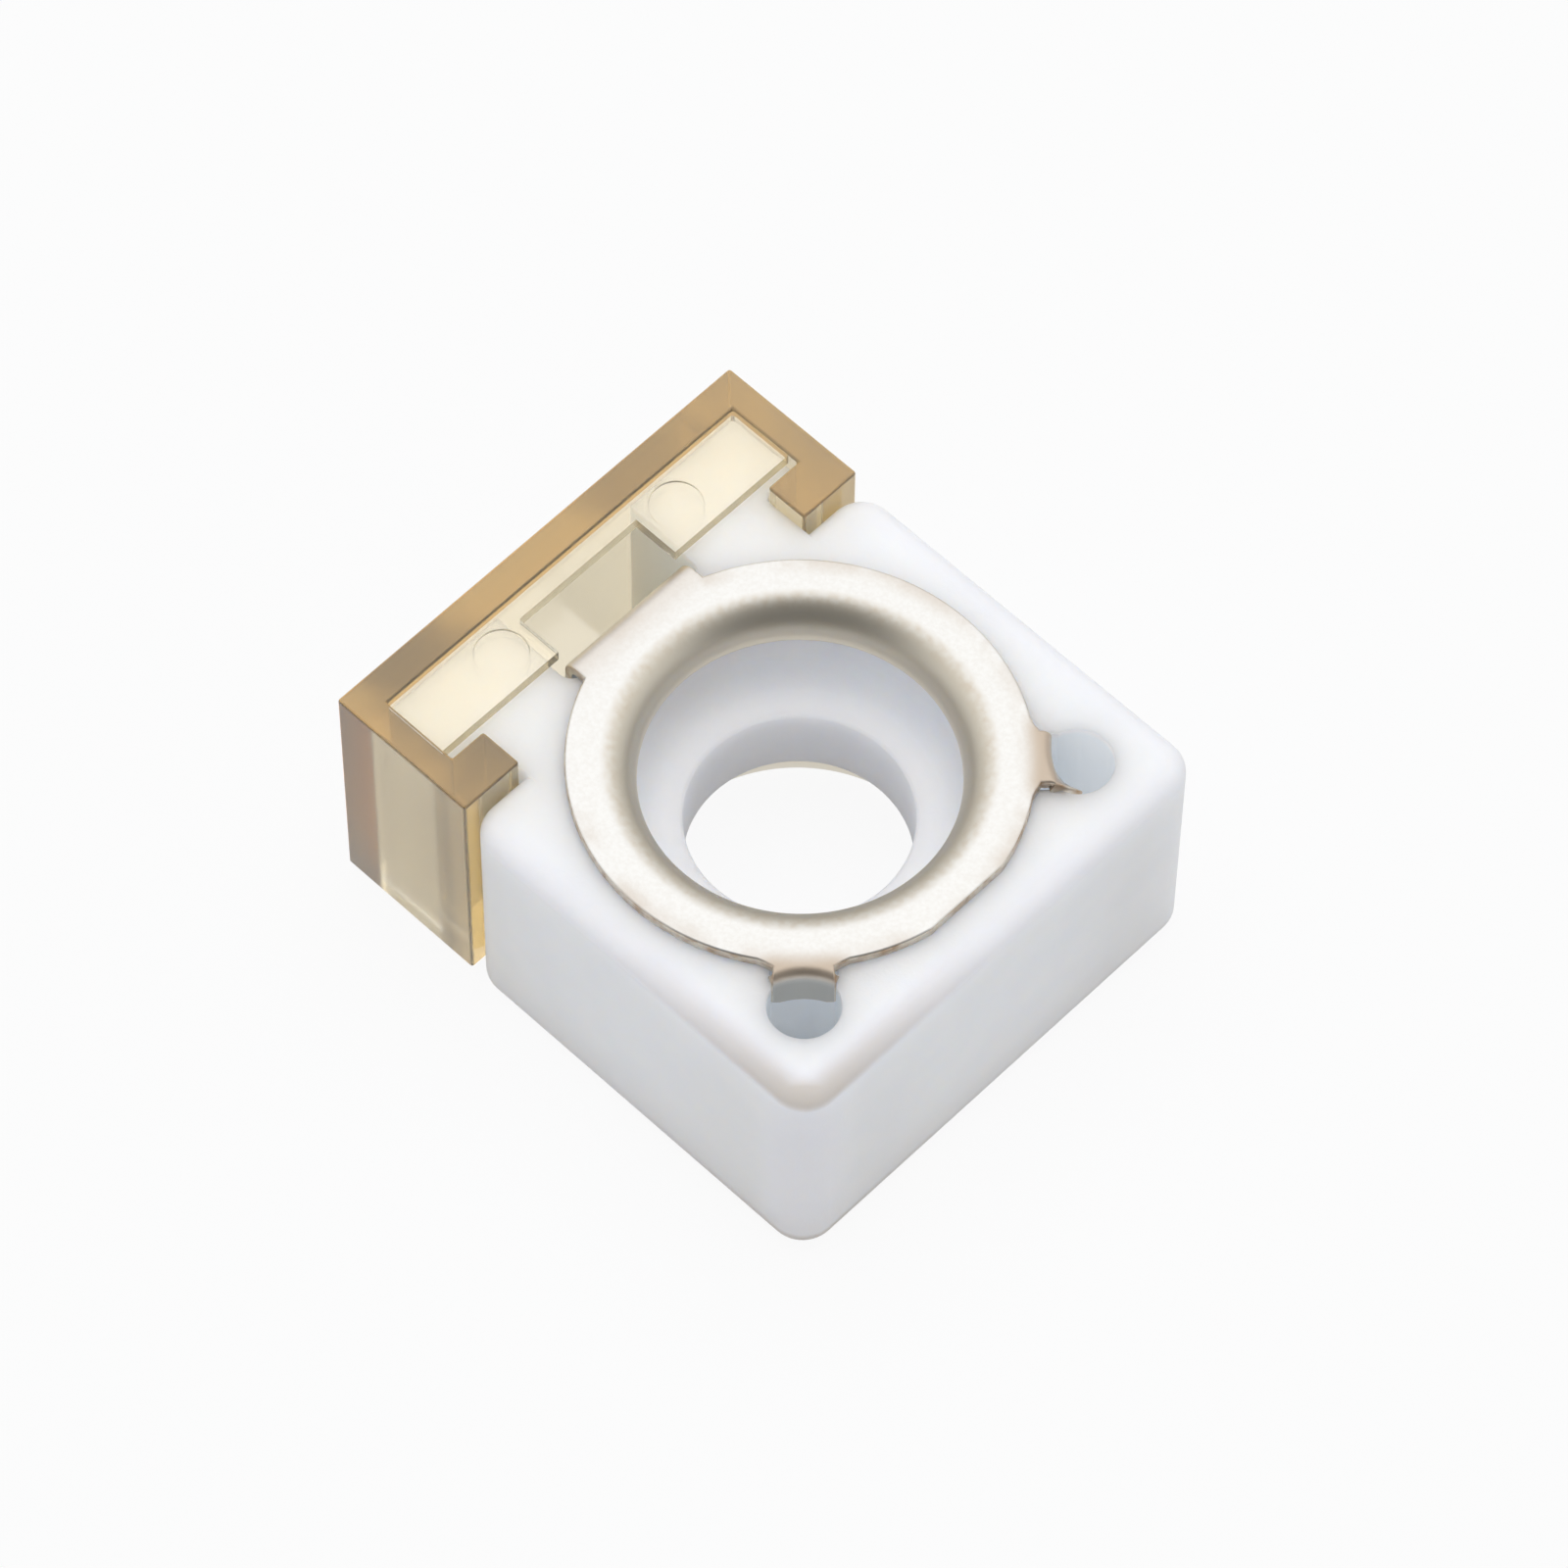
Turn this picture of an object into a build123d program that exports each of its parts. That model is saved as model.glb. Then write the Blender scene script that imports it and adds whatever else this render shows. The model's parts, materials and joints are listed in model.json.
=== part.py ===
from build123d import *
import os

os.makedirs("parts", exist_ok=True)

# Terminal fuse for an M8 stud. A white ceramic block insulates the stud, a folded strip of tinned
# copper alloy carries the current from the contact ring on top to the one underneath, and an
# amber cover slides down over the back of the block and closes the chamber of the fusible neck.
# Millimetres. The origin is on the stud's axis, halfway up the block. +Z points out of the upper
# contact ring, and -X points at the cover.

# Ceramic block
body_height = 10.7
body_reach = 10.25              # stud axis to the front face and to both side faces
shoulder_reach = 6.85           # stud axis to the shoulders that face the cover
corner_radius = 1.35            # upright corners
top_edge_radius = 0.75
bottom_edge_radius = 0.5
stud_bore_radius = 4.25
land_height = 3.3               # height of the ledge that hugs the stud
land_chamfer = 0.15
pocket_floor_radius = 1.0       # hollow corner at the foot of each counterbore
chamber_corner_radius = 0.6
head_edge_radius = 0.25         # corners of the T-shaped head under the cover

# Fuse element, one folded sheet
sheet = 0.4
ring_radius = 8.5
ring_flat_cut = 0.2             # depth of the short straight cut on the ring's front
lip_radius = 5.9                # inside of the rolled lip
lip_roll_radius = 1.4
lip_depth = 1.55
strap_width = 6.1
strap_step = 0.5                # ring's edge to the outer face of the strap that runs down
strap_bend_radius = 0.25        # inside of its two bends
neck_width = 2.3                # what melts, between two round notches

# Locking tabs, bent off the ring's edge into the block
lock_tab_angle = 45.0           # either side of +X
lock_tab_width = 2.2
lock_tab_step = 0.45            # ring's edge to the tab's outer face, in its middle
lock_tab_depth = 1.9            # below the ring's contact face
lock_tab_curve = 3.0            # the punch leaves each tab hollow on its outside
lock_tab_bend = 0.4             # outside of the bend
lock_hole_radius = 1.35
lock_hole_step = 1.05           # tab's outer face to the hole's axis

# Window cover
cover_side_step = 0.15          # cover's side inside the block's side
back_wall = 1.35
end_wall = 1.2
arc_room = 3.15                 # strap to the inside of the back wall
hook_thickness = 1.85
hook_length = 2.77              # cover's side to the hook's tip
web_thickness = 0.55
web_recess = 0.13               # top of the web below the rim
notch_width = 6.0
notch_depth = 2.0
ejector_mark_radius = 1.05
ejector_mark_depth = 0.05
ejector_mark_spacing = 9.0
cover_edge_radius = 0.12

# Clearances
lip_gap = 0.05                  # rolled lip to the ceramic
lock_gap = 0.06                 # locking tab to its slot
strap_gap = 0.35                # strap to the chamber's front and side walls
web_gap = 0.3                   # strap to the front edge of the web
cover_gap = 0.1                 # cover to the ceramic, all round the head

# Worked out from the sizes above
body_top = body_height / 2
contact_top = body_top + sheet
ring_flat_start = lip_radius + lip_roll_radius
counterbore_radius = lip_radius + sheet + lip_gap
strap_reach = ring_radius + strap_step
chamber_reach = strap_reach - sheet - strap_gap
chamber_width = strap_width + 2 * strap_gap
neck_notch_radius = (strap_width - neck_width) / 2
lock_tab_reach = ring_radius + lock_tab_step
lock_hole_reach = lock_tab_reach + lock_hole_step
cover_half = body_reach - cover_side_step
hook_front = shoulder_reach + cover_gap
hook_back = hook_front + hook_thickness
hook_tip = cover_half - hook_length
cover_inside_reach = strap_reach + arc_room
cover_inside_half = cover_half - end_wall
cover_reach = cover_inside_reach + back_wall
rim_top = body_top + web_thickness + web_recess


def mirrored_outline(points):
    """Face of a closed outline from its +Y half, first point to last, and its mirror image."""
    return make_face(Polyline(*points, *[(x, -y) for x, y in reversed(points)], close=True))


def upright_edges(solid, radius):
    """Round every upright edge of a straight-walled solid."""
    return fillet(solid.edges().filter_by(Axis.Z), radius)


def main_block():
    """The rounded block round the stud, before its bore."""
    length = body_reach + shoulder_reach
    block = Pos((body_reach - shoulder_reach) / 2, 0, 0) * Box(length, 2 * body_reach, body_height)
    block = upright_edges(block, corner_radius)
    block = fillet(block.faces().sort_by(Axis.Z)[-1].edges(), top_edge_radius)
    return fillet(block.faces().sort_by(Axis.Z)[0].edges(), bottom_edge_radius)


def head():
    """The T-shaped head that the cover's hooks reach behind, with the arc chamber between its ears."""
    neck_half = hook_tip - cover_gap
    ear_half = cover_inside_half - cover_gap
    ear_front = hook_back + cover_gap
    ear_back = cover_inside_reach - cover_gap
    outline = [
        (-shoulder_reach + corner_radius, neck_half),
        (-ear_front, neck_half),
        (-ear_front, ear_half),
        (-ear_back, ear_half),
    ]
    solid = extrude(mirrored_outline(outline), body_top, both=True)
    return upright_edges(solid, head_edge_radius)


def chamber():
    """Room for the strap, open at the back, where the cover closes it."""
    length = cover_reach - chamber_reach
    room = Pos(-chamber_reach - length / 2, 0, 0) * Box(length, chamber_width, 2 * body_height)
    front = room.faces().sort_by(Axis.X)[-1]
    return fillet(front.edges().filter_by(Axis.Z), chamber_corner_radius)


def bore():
    """Stud bore with a counterbore from each side, turned as one tool."""
    seat_chamfer = ring_flat_start - counterbore_radius
    land_top = land_height / 2
    upper_half = [
        (ring_flat_start, body_height),
        (ring_flat_start, body_top),
        (counterbore_radius, body_top - seat_chamfer),
        (counterbore_radius, land_top),
        (stud_bore_radius + land_chamfer, land_top),
        (stud_bore_radius, land_top - land_chamfer),
    ]
    lower_half = [(x, -z) for x, z in reversed(upper_half)]
    section = make_face(Polyline((0, body_height), *upper_half, *lower_half, (0, -body_height), close=True))
    foot = section.vertices().filter_by_position(Axis.Y, -land_top, land_top).group_by(Axis.X)[-1]
    section = fillet(foot, pocket_floor_radius)
    return revolve(Plane.XZ * section, Axis.Z)


def lock_pocket():
    """Keyhole for one pair of locking tabs: a round hole and a slot towards the stud."""
    slot_start = lock_tab_reach - sheet - lock_gap
    slot_length = lock_hole_reach - slot_start
    slot = Pos(slot_start + slot_length / 2, 0) * Rectangle(slot_length, lock_tab_width + 2 * lock_gap)
    plan = slot + Pos(lock_hole_reach, 0) * Circle(lock_hole_radius)
    return extrude(plan, body_height, both=True)


def ceramic_body():
    body = main_block() + head() - chamber() - bore()
    for angle in (-lock_tab_angle, lock_tab_angle):
        body -= Rot(0, 0, angle) * lock_pocket()
    return body


def contact_ring():
    """Upper ring with its rolled lip, turned from one section, and the cut on its front."""
    outer = FilletPolyline(
        (ring_radius, contact_top),
        (lip_radius, contact_top),
        (lip_radius, contact_top - lip_depth),
        radius=lip_roll_radius,
    )
    inner = FilletPolyline(
        (ring_radius, body_top),
        (lip_radius + sheet, body_top),
        (lip_radius + sheet, contact_top - lip_depth),
        radius=lip_roll_radius - sheet,
    )
    ends = [Line(outer @ 0, inner @ 0), Line(outer @ 1, inner @ 1)]
    section = make_face(outer.edges() + inner.edges() + ends)
    ring = revolve(Plane.XZ * section, Axis.Z)
    offcut = Pos(2 * ring_radius - ring_flat_cut, 0, 0) * Box(2 * ring_radius, 2 * ring_radius, 4 * body_top)
    return ring - offcut


def lock_tab():
    """One tab along +X: a flat root and a hollow leg, joined by a bend."""
    curve_centre = lock_tab_reach + lock_tab_curve
    root_start = ring_flat_start + sheet
    strip = Pos((root_start + curve_centre) / 2, 0) * Rectangle(curve_centre - root_start, lock_tab_width)
    inside = Pos(curve_centre, 0) * Circle(lock_tab_curve)
    outside = Pos(curve_centre, 0) * Circle(lock_tab_curve + sheet)
    root = Pos(0, 0, body_top) * extrude(strip - inside, sheet)
    leg = Pos(0, 0, contact_top) * extrude((strip & outside) - inside, -lock_tab_depth)
    tab = root + leg
    bend = tab.edges().filter_by(GeomType.CIRCLE).group_by(Axis.Z)[-1]
    return fillet(bend, lock_tab_bend)


def strap():
    """The strip from ring to ring, folded twice, with two notches that leave the fusible neck."""
    start = -ring_flat_start - sheet / 2
    outer = FilletPolyline(
        (start, contact_top),
        (-strap_reach, contact_top),
        (-strap_reach, -contact_top),
        (start, -contact_top),
        radius=strap_bend_radius + sheet,
    )
    inner = FilletPolyline(
        (start, body_top),
        (-strap_reach + sheet, body_top),
        (-strap_reach + sheet, -body_top),
        (start, -body_top),
        radius=strap_bend_radius,
    )
    ends = [Line(outer @ 0, inner @ 0), Line(outer @ 1, inner @ 1)]
    section = make_face(outer.edges() + inner.edges() + ends)
    strip = extrude(Plane.XZ * section, strap_width / 2, both=True)
    for side in (-1, 1):
        centre = side * (neck_width / 2 + neck_notch_radius)
        strip -= Pos(-strap_reach, centre, 0) * Rot(0, 90, 0) * Cylinder(neck_notch_radius, 4 * sheet)
    return strip


def fuse_element():
    upper = contact_ring()
    for angle in (-lock_tab_angle, lock_tab_angle):
        upper += Rot(0, 0, angle) * lock_tab()
    return upper + mirror(upper, Plane.XY) + strap()


def window_cover():
    """Back wall, end walls and hooks, drawn straight down, and the notched web that closes the top."""
    outline = [
        (-hook_front, cover_half),
        (-cover_reach, cover_half),
    ]
    inside = [
        (-cover_inside_reach, cover_inside_half),
        (-hook_back, cover_inside_half),
        (-hook_back, hook_tip),
        (-hook_front, hook_tip),
    ]
    walls = extrude(mirrored_outline(outline) - mirrored_outline(inside), rim_top + body_top)
    walls = upright_edges(walls, cover_edge_radius)
    walls = Pos(0, 0, -body_top) * fillet(walls.faces().sort_by(Axis.Z)[-1].edges(), cover_edge_radius)

    web_front = strap_reach + web_gap
    overlap = back_wall / 2
    length = cover_inside_reach + overlap - web_front
    plan = Pos(-web_front - length / 2, 0) * Rectangle(length, 2 * (cover_inside_half + end_wall / 2))
    plan -= Pos(-web_front - notch_depth / 2, 0) * Rectangle(notch_depth, notch_width)
    web = Pos(0, 0, body_top) * extrude(plan, web_thickness)
    mark_x = -(web_front + cover_inside_reach) / 2
    for side in (-1, 1):
        centre = Pos(mark_x, side * ejector_mark_spacing / 2, body_top + web_thickness)
        web -= centre * Cylinder(ejector_mark_radius, 2 * ejector_mark_depth)
    return walls + web


parts = {
    "ceramic_body": ceramic_body(),
    "fuse_element": fuse_element(),
    "window_cover": window_cover(),
}
for node, shape in parts.items():
    export_step(shape, f"parts/{node}.step")
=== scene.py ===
# %% [markdown]
# # A terminal fuse
# This lesson dresses a small part for its portrait. On the real object there are three pieces: a
# white ceramic block that drops over a battery stud, one sheet of tinned copper folded round it,
# and a clear amber cover over the chamber where the metal melts. The CAD model gives their true
# sizes. Its curved faces are made of flat facets, which show on shiny metal, so here each piece is
# modelled again in the same place with smooth bends and small rounded edges.

# %% Load the frame
import json
import math

import bmesh
import bpy
from mathutils import Matrix, Vector


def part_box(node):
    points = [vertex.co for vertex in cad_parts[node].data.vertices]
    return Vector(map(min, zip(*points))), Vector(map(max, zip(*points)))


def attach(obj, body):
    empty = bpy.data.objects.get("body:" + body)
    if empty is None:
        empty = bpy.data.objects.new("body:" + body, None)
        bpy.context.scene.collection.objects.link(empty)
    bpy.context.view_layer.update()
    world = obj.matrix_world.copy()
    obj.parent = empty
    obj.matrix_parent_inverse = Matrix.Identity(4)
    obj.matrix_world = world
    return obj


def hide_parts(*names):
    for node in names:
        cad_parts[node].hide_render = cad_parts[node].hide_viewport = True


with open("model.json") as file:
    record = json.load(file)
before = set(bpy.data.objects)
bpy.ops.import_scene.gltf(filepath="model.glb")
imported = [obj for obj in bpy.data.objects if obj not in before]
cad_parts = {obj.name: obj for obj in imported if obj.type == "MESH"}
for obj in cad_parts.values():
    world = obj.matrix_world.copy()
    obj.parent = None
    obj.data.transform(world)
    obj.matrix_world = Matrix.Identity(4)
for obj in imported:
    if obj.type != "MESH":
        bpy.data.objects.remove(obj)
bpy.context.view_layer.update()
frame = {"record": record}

# %% [markdown]
# The part is only 24 mm long. Blender's bevels and merge distances are made for bigger things, so
# each piece is modelled with one unit for a millimetre and shrunk to metres when it is finished.
# Outer sizes come from the CAD model. The rest are the part's own sizes, in millimetres.

# %% Sizes
MM = 0.001


def box_mm(node):
    """Lowest and highest corner of a CAD node, in millimetres."""
    return [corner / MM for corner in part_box(node)]


block_low, block_high = box_mm("ceramic_body")
element_low, element_high = box_mm("fuse_element")
cover_low, cover_high = box_mm("window_cover")
mounts = {mount["name"]: mount for mount in frame["record"]["mounts"]}

BODY_TOP = block_high.z
BODY_REACH = block_high.x
CONTACT_TOP = element_high.z
RING_RADIUS = element_high.y
STRAP_REACH = -element_low.x
BORE_RADIUS = mounts["stud_bore"]["dims"]["r_mm"]
LIP_RADIUS = mounts["upper_collar_bore"]["dims"]["r_mm"]
SHEET = CONTACT_TOP - BODY_TOP
print("contact face at", round(CONTACT_TOP, 3), "mm, sheet", round(SHEET, 3), "mm")

# %% [markdown]
# ## The camera
# The picture was taken from above one corner, with a long lens from about 31 cm away. Its place
# was fitted to the block's straight edges and to the ellipses of the ring and the bore. The camera
# looks along its own -Z, so its three axes are worked out from two angles and a small roll. The
# two aims, in millimetres, shift it across its own picture until the stud's axis is in its place.

# %% Camera
AZIMUTH = math.radians(43.652)
ELEVATION = math.radians(59.019)
ROLL = math.radians(0.755)
DISTANCE = 311.613
AIM_RIGHT = -0.551
AIM_UP = 2.009
FOCAL_LENGTH = 195.74
SENSOR_WIDTH = 36

towards_camera = Vector((math.sin(AZIMUTH), -math.cos(AZIMUTH), 0))
back = towards_camera * math.cos(ELEVATION) + Vector((0, 0, math.sin(ELEVATION)))
level = Vector((math.cos(AZIMUTH), math.sin(AZIMUTH), 0))
upright = back.cross(level)
right = level * math.cos(ROLL) + upright * math.sin(ROLL)
up = upright * math.cos(ROLL) - level * math.sin(ROLL)
place = (right * AIM_RIGHT + up * AIM_UP + back * DISTANCE) * MM

lens = bpy.data.cameras.new("camera")
lens.sensor_fit = "HORIZONTAL"
lens.sensor_width = SENSOR_WIDTH
lens.lens = FOCAL_LENGTH
lens.clip_start = 0.01
camera = bpy.data.objects.new("camera", lens)
bpy.context.collection.objects.link(camera)
axes = Matrix((right, up, back)).transposed().to_4x4()
camera.matrix_world = Matrix.Translation(place) @ axes
bpy.context.scene.camera = camera
print("camera at", [round(value / MM, 1) for value in place], "mm")

# %% [markdown]
# ## Colours and nodes
# A shader counts light, so a colour written as on a screen is first turned into linear numbers.
# One more function adds a node, sets it and links it. Sockets go by their names, and by number
# where a node has several of one name. In a colour mix 0 is the factor, 6 and 7 are the two
# colours, and output 2 is the mixed colour.

# %% Helpers for finishes
def linear(colour):
    """A colour as on a screen, such as 'f0e8dc', as the linear numbers of a shader."""
    channels = [int(colour[i : i + 2], 16) / 255 for i in (0, 2, 4)]
    return [c / 12.92 if c <= 0.04045 else ((c + 0.055) / 1.055) ** 2.4 for c in channels] + [1]


def add(tree, kind, sockets=None, stops=None, **settings):
    """Add a node. A socket gets a value, or a link where it is given another node's output."""
    node = tree.nodes.new(kind)
    for name, value in settings.items():
        setattr(node, name, value)
    for socket, value in (sockets or {}).items():
        if isinstance(value, bpy.types.NodeSocket):
            tree.links.new(value, node.inputs[socket])
        else:
            node.inputs[socket].default_value = value
    if stops:
        elements = node.color_ramp.elements
        while len(elements) < len(stops):
            elements.new(0.5)
        for element, (position, colour) in zip(elements, stops):
            element.position = position
            element.color = colour
    return node


def new_material(name):
    """An empty node material. Returns it and its tree."""
    material = bpy.data.materials.new(name)
    material.use_nodes = True
    material.node_tree.nodes.clear()
    return material, material.node_tree


print("a screen's middle grey is", round(linear("808080")[0], 3), "of white to a shader")

# %% [markdown]
# ## Floor and light
# The object lies on a white table in a light tent. The floor is a plain sheet. To the camera, to
# metal and to clear plastic it shows as bright white paper, and the rest of it is matt, so it
# takes a faint shadow and throws light up at the sides of the block.

# %% Floor
FLOOR_HALF = 400
PAPER = "fcfcfc"
MATT_PAPER = "f4f4f4"
FLOOR_GLOW = 0.95
FLOOR_GLOW_CLEAR = 0.71

bpy.ops.object.select_all(action="DESELECT")
bpy.ops.mesh.primitive_plane_add(size=2 * FLOOR_HALF * MM, location=(0, 0, element_low.z * MM))
floor = bpy.context.object
floor.name = floor.data.name = "floor"
paper, tree = new_material("white_paper")
path = add(tree, "ShaderNodeLightPath").outputs
direct = add(tree, "ShaderNodeMath", {0: path["Is Camera Ray"], 1: path["Is Glossy Ray"]})
through = add(
    tree,
    "ShaderNodeMath",
    {0: path["Is Transmission Ray"], 1: FLOOR_GLOW_CLEAR},
    operation="MULTIPLY",
)
share = add(
    tree,
    "ShaderNodeMath",
    {0: direct.outputs[0], 1: FLOOR_GLOW, 2: through.outputs[0]},
    operation="MULTIPLY_ADD",
)
matt = add(tree, "ShaderNodeBsdfDiffuse", {"Color": linear(MATT_PAPER)})
glow = add(tree, "ShaderNodeEmission", {"Color": linear(PAPER), "Strength": 1})
both = add(
    tree,
    "ShaderNodeMixShader",
    {0: share.outputs[0], 1: matt.outputs[0], 2: glow.outputs[0]},
)
add(tree, "ShaderNodeOutputMaterial", {"Surface": both.outputs[0]})
floor.data.materials.append(paper)
print("floor at", round(floor.location.z / MM, 2), "mm")

# %% [markdown]
# The tent is the world. Matt surfaces get an even light from it. Shiny ones show its real shape:
# white cloth above and behind the object, greyer near the table, and dark on the side where the
# camera stands in the open front of the tent. That dark side is what draws the far part of the
# rolled lip, so it matters more to the metal than any lamp. Clear plastic scatters what it lets
# through, so behind it the tent is one even white.

# %% Tent
TENT_DIFFUSE = 0.5
TENT_TOP = 1.16
TENT_HORIZON = 0.5
TENT_FRONT = 0.2
TENT_CLEAR = 1.3
CLOTH_WHITE_FROM = 0.8
FRONT_ELEVATION = math.radians(35)
FRONT_EDGE = (0.45, 0.85)

world = bpy.data.worlds.new("tent")
bpy.context.scene.world = world
world.use_nodes = True
tree = world.node_tree
tree.nodes.clear()
ray = add(tree, "ShaderNodeTexCoord").outputs["Generated"]
height = add(tree, "ShaderNodeSeparateXYZ", {0: ray}).outputs["Z"]
cloth = add(
    tree,
    "ShaderNodeMapRange",
    {"Value": height, "From Max": CLOTH_WHITE_FROM, "To Min": TENT_HORIZON, "To Max": TENT_TOP},
)
front = towards_camera * math.cos(FRONT_ELEVATION) + Vector((0, 0, math.sin(FRONT_ELEVATION)))
facing = add(tree, "ShaderNodeVectorMath", {0: ray, 1: front}, operation="DOT_PRODUCT")
opening = add(
    tree,
    "ShaderNodeMapRange",
    {"Value": facing.outputs["Value"], "From Min": FRONT_EDGE[0], "From Max": FRONT_EDGE[1]},
    interpolation_type="SMOOTHSTEP",
)
tent = add(
    tree,
    "ShaderNodeMix",
    {"Factor": opening.outputs[0], "A": cloth.outputs[0], "B": TENT_FRONT},
)
path = add(tree, "ShaderNodeLightPath").outputs
light = TENT_DIFFUSE
for kind, seen in (
    ("Is Glossy Ray", tent.outputs[0]),
    ("Is Transmission Ray", TENT_CLEAR),
    ("Is Camera Ray", linear(PAPER)[0]),
):
    light = add(tree, "ShaderNodeMix", {"Factor": path[kind], "A": light, "B": seen}).outputs[0]
sky = add(tree, "ShaderNodeBackground", {"Color": linear("ffffff"), "Strength": light})
add(tree, "ShaderNodeOutputWorld", {"Surface": sky.outputs[0]})
print("tent from", TENT_HORIZON, "to", TENT_TOP)

# %% [markdown]
# One large lamp hangs over the object, a little behind it, as a soft box does over a table. It is
# wide for its distance, so shadows stay soft. Metal doesn't mirror it, because what that mirrors
# is the tent.

# %% Lamp
LAMP_SIZE = 0.34
LAMP_PLACE = Vector((-0.04, 0.035, 0.30))
LAMP_POWER = 0.73
LAMP_COLOUR = (0.92, 0.95, 1)

softbox = bpy.data.lights.new("softbox", "AREA")
softbox.shape = "DISK"
softbox.size = LAMP_SIZE
softbox.energy = LAMP_POWER
softbox.color = LAMP_COLOUR
lamp = bpy.data.objects.new("softbox", softbox)
bpy.context.collection.objects.link(lamp)
lamp.location = LAMP_PLACE
lamp.rotation_euler = LAMP_PLACE.to_track_quat("Z", "Y").to_euler()
lamp.visible_glossy = False
lamp.visible_camera = False
print("lamp", round(LAMP_PLACE.length, 3), "m away")

# %% [markdown]
# ## The ceramic block
# The real block is pressed from powder in a die and fired. Its outer edges are softly rounded,
# because sharp ceramic chips. By hand one would click the edges to round. Here they are picked by a
# question about their place, which still picks the right ones when a size is changed. Places that
# are nearer than NEAR count as one.

# %% Helpers for picking and rounding
NEAR = 0.01


def only(piece):
    """Select one piece and nothing else."""
    bpy.ops.object.select_all(action="DESELECT")
    piece.select_set(True)
    bpy.context.view_layer.objects.active = piece


def pick(piece, kind, question):
    """In edit mode, select the verts, edges or faces for which the question is true."""
    bpy.ops.mesh.select_all(action="DESELECT")
    bpy.ops.mesh.select_mode(type={"verts": "VERT", "edges": "EDGE", "faces": "FACE"}[kind])
    mesh = bmesh.from_edit_mesh(piece.data)
    chosen = [element for element in getattr(mesh, kind) if question(element)]
    for element in chosen:
        element.select_set(True)
    mesh.select_flush_mode()
    bmesh.update_edit_mesh(piece.data)
    return len(chosen)


def middle(edge):
    """The middle of an edge."""
    return (edge.verts[0].co + edge.verts[1].co) / 2


def stands(edge):
    """True for an upright edge, whose middle is halfway up the block."""
    return abs(middle(edge).z) < NEAR


def round_edges(piece, radius, segments, question):
    """Round the edges that the question picks."""
    count = pick(piece, "edges", question)
    bpy.ops.mesh.bevel(offset=radius, segments=segments, affect="EDGES", clamp_overlap=False)
    return count


# %% [markdown]
# A cube gives the block's faces. Its upright edges are rounded first and the top and bottom edges
# after them, so that the corners come out as smooth as on the real one.

# %% The rounded block
SHOULDER = 6.85
CORNER_RADIUS = 1.35
TOP_EDGE_RADIUS = 0.75
BOTTOM_EDGE_RADIUS = 0.5

bpy.ops.object.select_all(action="DESELECT")
bpy.ops.mesh.primitive_cube_add(
    size=1,
    location=((BODY_REACH - SHOULDER) / 2, 0, 0),
    scale=(BODY_REACH + SHOULDER, 2 * BODY_REACH, 2 * BODY_TOP),
)
ceramic = bpy.context.object
ceramic.name = ceramic.data.name = "ceramic_block"
bpy.ops.object.transform_apply(location=True, scale=True)
bpy.ops.object.mode_set(mode="EDIT")
round_edges(ceramic, CORNER_RADIUS, segments=12, question=stands)
round_edges(ceramic, TOP_EDGE_RADIUS, 8, lambda edge: middle(edge).z > BODY_TOP - NEAR)
round_edges(ceramic, BOTTOM_EDGE_RADIUS, 6, lambda edge: middle(edge).z < NEAR - BODY_TOP)
bpy.ops.object.mode_set(mode="OBJECT")
print("rounded block:", len(ceramic.data.polygons), "faces")

# %% [markdown]
# The rest of the block is added to it or cut out of it, as solids with straight walls. Such a
# solid is a drawn outline, filled and raised. The outline is drawn by extruding a point again and
# again. Most outlines here are the same on both sides, so only one half is written down.

# %% Helpers for straight-walled solids
def draw(name, points):
    """A new piece that is one drawn line, left in edit mode with all of it selected."""
    bpy.ops.object.select_all(action="DESELECT")
    bpy.ops.mesh.primitive_plane_add(size=1)
    piece = bpy.context.object
    piece.name = piece.data.name = name
    bpy.ops.object.mode_set(mode="EDIT")
    bpy.ops.mesh.select_mode(type="VERT")
    bpy.ops.mesh.select_all(action="SELECT")
    bpy.ops.mesh.merge(type="CENTER")
    bpy.ops.transform.translate(value=points[0])
    for here, there in zip(points, points[1:]):
        step = Vector(there) - Vector(here)
        bpy.ops.mesh.extrude_vertices_move(TRANSFORM_OT_translate={"value": step})
    bpy.ops.mesh.select_all(action="SELECT")
    return piece


def mirrored(points):
    """A closed outline from the half with positive Y."""
    return points + [(x, -y) for x, y in reversed(points)]


def prism(name, points, low, high):
    """A solid with straight upright walls: an outline, filled and raised."""
    piece = draw(name, [(x, y, low) for x, y in points])
    bpy.ops.mesh.edge_face_add()
    bpy.ops.mesh.extrude_region_move(TRANSFORM_OT_translate={"value": (0, 0, high - low)})
    bpy.ops.mesh.select_all(action="SELECT")
    bpy.ops.mesh.normals_make_consistent(inside=False)
    return piece


def modify(piece, kind, **settings):
    """Add a modifier, set it and apply it."""
    only(piece)
    bpy.ops.object.modifier_add(type=kind)
    modifier = piece.modifiers[-1]
    for name, value in settings.items():
        setattr(modifier, name, value)
    bpy.ops.object.modifier_apply(modifier=modifier.name)


def combine(piece, tool, operation):
    """Cut with a tool or weld it on. The tool is used up."""
    bpy.ops.object.mode_set(mode="OBJECT")
    modify(piece, "BOOLEAN", operation=operation, solver="EXACT", object=tool)
    bpy.data.objects.remove(tool)


# %% [markdown]
# At the back the block ends in a T-shaped head. The cover's hooks reach round its two ears. An
# outline of one half, mirrored and raised, gives the T with its true steps.

# %% The head
EAR_BACK = -block_low.x
EAR_HALF = 8.8
EAR_FRONT = 8.9
NECK_HALF = 7.23
HEAD_EDGE_RADIUS = 0.25

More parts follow.
